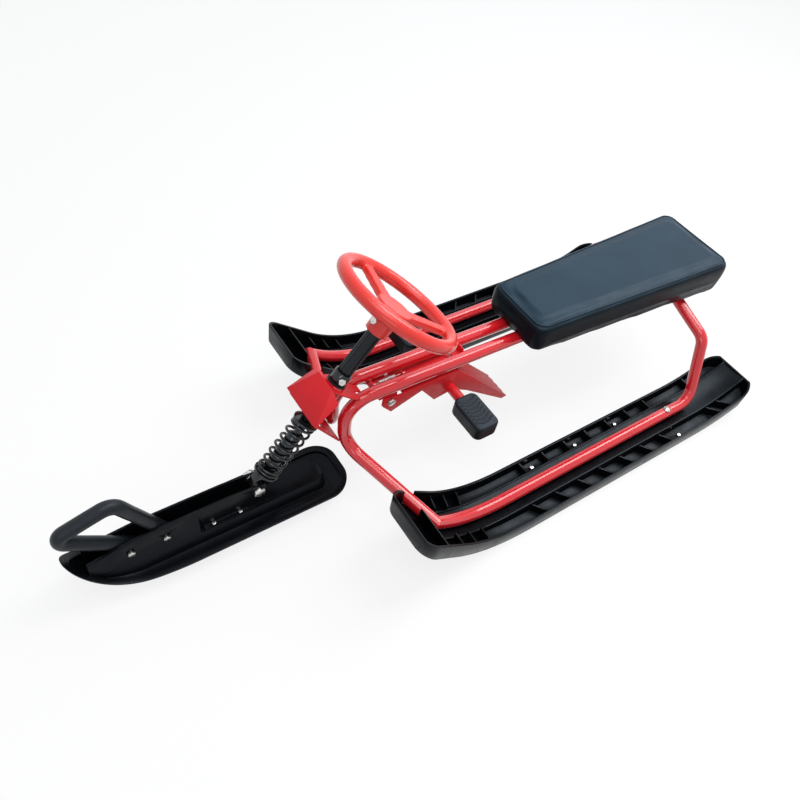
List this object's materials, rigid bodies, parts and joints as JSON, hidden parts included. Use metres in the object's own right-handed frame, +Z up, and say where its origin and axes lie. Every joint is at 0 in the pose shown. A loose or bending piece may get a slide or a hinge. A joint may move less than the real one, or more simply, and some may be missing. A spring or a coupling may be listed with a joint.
{
  "type": "steering sled",
  "caption": "Snow sled with twin rear skis on a bent tube frame, padded seat, wheel-steered sprung front ski with a grab loop, and a pedal-worked claw brake.",
  "frame": {"origin": "ground under the middle of the overall length and width", "axes": "+X forward towards the front ski, +Y to the rider's left, +Z up"},
  "size_m": [1.2833, 0.512, 0.4483],
  "materials": {
    "red_paint": "gloss red powder coat",
    "red_plastic": "moulded gloss red plastic",
    "black_ski": "black moulded plastic, semi-gloss",
    "black_steel": "black powder coat",
    "black_sleeve": "black moulded column cover",
    "foam": "dark grey foam sleeve on a bent tube",
    "pedal_rubber": "ribbed black rubber",
    "seat_vinyl": "black vinyl over foam",
    "board_wood": "plain board under the cushion",
    "bush_plastic": "black bearing bush",
    "zinc": "zinc-plated steel"
  },
  "bodies": {
    "frame": {"left_front_leg": "red_paint", "right_front_leg": "red_paint", "left_top_tube": "red_paint", "right_top_tube": "red_paint", "left_rear_leg": "red_paint", "right_rear_leg": "red_paint", "left_ski_rail": "red_paint", "right_ski_rail": "red_paint", "left_rear_ski": "black_ski", "right_rear_ski": "black_ski", "head_tube": "red_paint", "upper_head_bush": "bush_plastic", "lower_head_bush": "bush_plastic", "head_shield": "red_paint", "crown_plate": "red_paint", "gusset_plate": "red_paint", "brake_bracket": "red_paint", "brake_pin": "zinc", "brake_pin_nut": "zinc", "cross_plate": "red_paint", "seat_board": "board_wood", "seat_cushion": "seat_vinyl", "seat_bolts": "zinc", "rail_bolts": "zinc", "rail_nuts": "zinc", "ski_screws": "zinc"},
    "steering": {"steering_shaft": "black_steel", "upper_spring_seat": "black_steel", "column_collar": "black_steel", "collar_bolt": "zinc", "collar_nut": "zinc", "column_sleeve": "black_sleeve", "wheel_boss": "red_plastic", "wheel_bolt": "zinc", "wheel_nut": "zinc", "steering_wheel": "red_plastic", "coil_spring": "black_steel"},
    "strut": {"strut_stem": "black_steel", "lower_spring_seat": "black_steel", "ski_lug": "black_steel"},
    "front_ski": {"front_ski": "black_ski", "left_cheek_plate": "black_steel", "right_cheek_plate": "black_steel", "ski_pivot_bolt": "zinc", "ski_pivot_nut": "zinc", "ski_pivot_spacers": "zinc", "front_loop": "foam", "loop_bolts": "zinc", "loop_nuts": "zinc", "cheek_screws": "zinc"},
    "brake": {"brake_flap": "red_paint", "pedal_bar": "red_paint", "left_pedal": "pedal_rubber", "right_pedal": "pedal_rubber"},
    "return_spring": {"pull_spring": "zinc"}
  },
  "joints": [
    {"name": "steer", "type": "hinge", "parent": "frame", "child": "steering", "pos_m": [0.33013, 0, 0.0991], "axis": [-0.5878, 0, 0.809], "range_deg": [-30, 30]},
    {"name": "suspension", "type": "slide", "parent": "steering", "child": "strut", "axis": [-0.5878, 0, 0.809], "range_m": [0, 0.025], "stiffness_N_per_m": 6000, "springref_m": -0.02, "deforming": ["coil_spring"]},
    {"name": "ski_pitch", "type": "hinge", "parent": "strut", "child": "front_ski", "pos_m": [0.3471, 0, 0.08424], "axis": [0, 1, 0], "range_deg": [-8, 10]},
    {"name": "brake_press", "type": "hinge", "parent": "frame", "child": "brake", "pos_m": [0.12732, 0, 0.201], "axis": [0, -1, 0], "range_deg": [0, 12], "stiffness_Nm_per_rad": 6, "springref_deg": -17.19},
    {"name": "spring_swing", "type": "hinge", "parent": "frame", "child": "return_spring", "pos_m": [0.14608, 0, 0.217], "axis": [0, -1, 0], "range_deg": [0, 8]}
  ],
  "couplings": [
    {"joint": "spring_swing", "follows": "brake_press", "ratio": 0.655}
  ]
}
